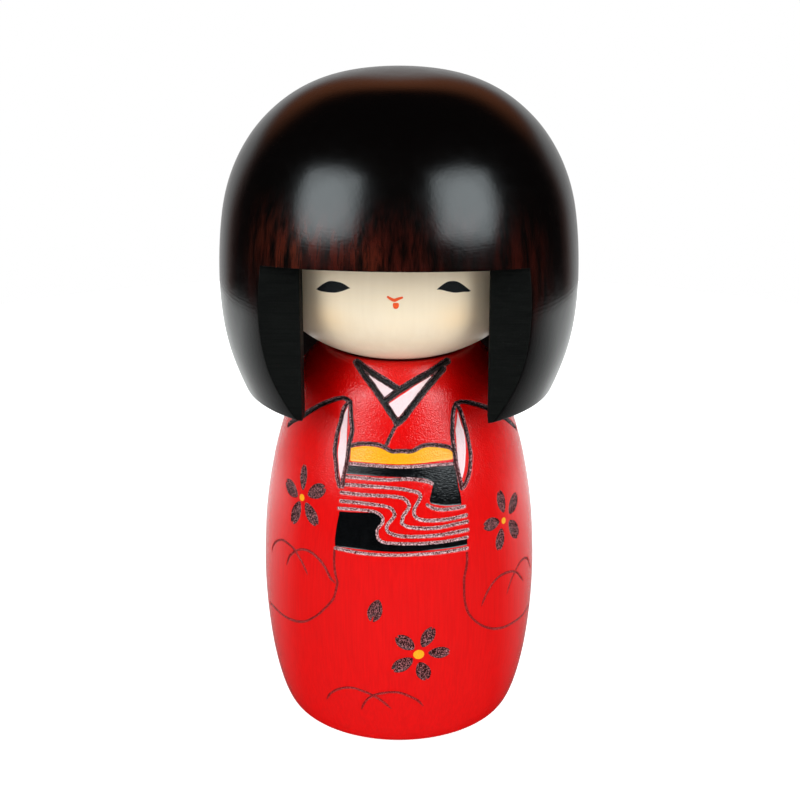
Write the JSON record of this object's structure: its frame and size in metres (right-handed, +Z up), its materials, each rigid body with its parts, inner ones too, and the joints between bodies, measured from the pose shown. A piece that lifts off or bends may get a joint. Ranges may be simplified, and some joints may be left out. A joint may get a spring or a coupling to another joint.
{
  "type": "kokeshi doll",
  "caption": "Turned wooden kokeshi doll: carved kimono body with a swivelling head made of a pale face block in a bored hair cap.",
  "frame": {"origin": "centre of the flat foot, on the turning axis", "axes": "+Z up along the turning axis to the crown, -Y towards the front of the doll, +X to the viewer's right as the doll is faced"},
  "size_m": [0.0796, 0.079, 0.15],
  "materials": {
    "kimono_wood": "red stain over fine vertical grain under a satin varnish, with carved and painted kimono lines",
    "bare_wood": "plain turned dowel, unfinished",
    "face_wood": "pale close-grained wood, satin clear coat, painted eyes and mouth",
    "hair_wood": "black-brown stain under a gloss lacquer, matt on the sawn lock faces and in the bore"
  },
  "bodies": {
    "torso": {"kimono_body": "kimono_wood", "neck_dowel": "bare_wood"},
    "head": {"face_block": "face_wood", "hair_cap": "hair_wood"}
  },
  "joints": [
    {"name": "head_swivel", "type": "hinge", "parent": "torso", "child": "head", "pos_m": [0, 0, 0.08795], "axis": [0, 0, 1], "continuous": true}
  ]
}
